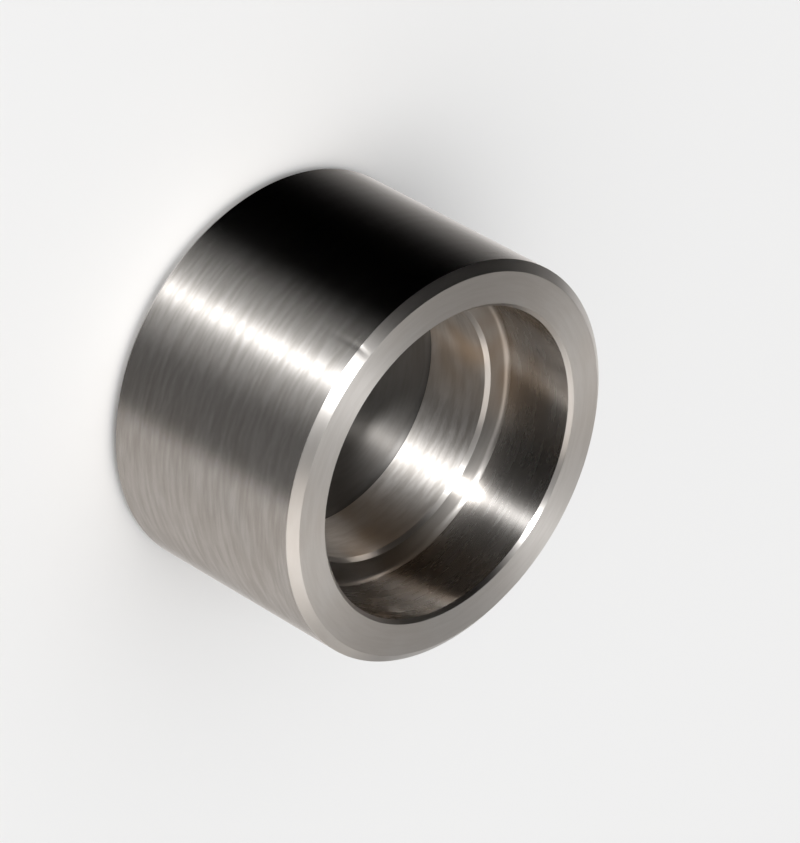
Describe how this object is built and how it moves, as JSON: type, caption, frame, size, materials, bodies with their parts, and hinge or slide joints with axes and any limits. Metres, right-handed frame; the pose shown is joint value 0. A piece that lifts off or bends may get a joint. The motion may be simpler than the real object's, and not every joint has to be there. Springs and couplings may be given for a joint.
{
  "type": "socket weld pipe cap",
  "caption": "Turned steel cap with a blind bore: a pipe slides into its socket, stops at the shoulder, and is welded round the mouth.",
  "frame": {"origin": "centre of the closed end's flat face, on the axis", "axes": "+Z along the axis, out of the socket's mouth; the cap stands on its closed end; round about Z, so X and Y are free"},
  "size_m": [0.063, 0.063, 0.0385],
  "materials": {
    "turned_steel": "bare steel, fine turned, with a bright satin sheen and turning marks round the axis"
  },
  "bodies": {
    "root": {"pipe_cap": "turned_steel"}
  },
  "joints": []
}
